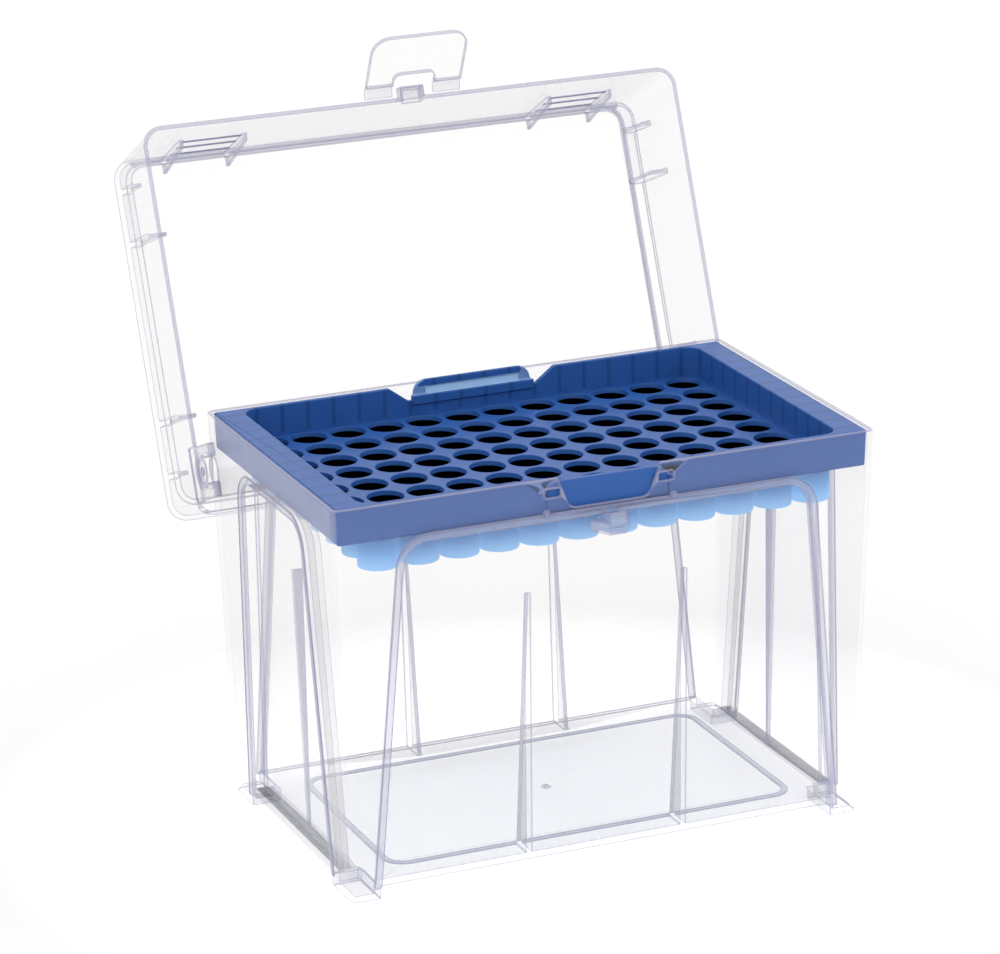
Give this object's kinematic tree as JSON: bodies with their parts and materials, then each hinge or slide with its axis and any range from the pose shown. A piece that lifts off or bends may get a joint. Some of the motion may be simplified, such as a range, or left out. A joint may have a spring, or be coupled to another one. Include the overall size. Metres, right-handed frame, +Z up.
{
  "type": "hinged pipette tip rack box",
  "caption": "Open box for pipette tips: clear base with corner feet, blue tray with a grid of tube-shaped holes, and a clear lid with a latch flap.",
  "frame": {"origin": "on the ground under the middle of the open object's footprint: midway along X, and midway between the catch in front and the open lid's back along Y", "axes": "+X along the box's long side, +Y from the latch side towards the hinge side, +Z up"},
  "size_m": [0.1284, 0.1324, 0.1603],
  "materials": {
    "clear": "clear moulded polypropylene, slightly hazy",
    "blue": "blue moulded polypropylene, smooth"
  },
  "bodies": {
    "base": {"base_box": "clear", "hinge_pin_left": "clear", "hinge_pin_right": "clear", "latch_catch": "clear", "tray_frame": "blue", "tip_plate": "blue"},
    "lid": {"lid": "clear", "flap_strap_left": "clear", "flap_strap_right": "clear"},
    "latch": {"latch_flap": "clear"}
  },
  "joints": [
    {"name": "lid_hinge", "type": "hinge", "parent": "base", "child": "lid", "pos_m": [0, 0.01173, 0.075], "axis": [-1, 0, 0], "range_deg": [-111.9, 0]},
    {"name": "latch_hinge", "type": "hinge", "parent": "lid", "child": "latch", "pos_m": [0, 0.04363, 0.1463], "axis": [-1, 0, 0], "range_deg": [-43.1, 90]}
  ]
}
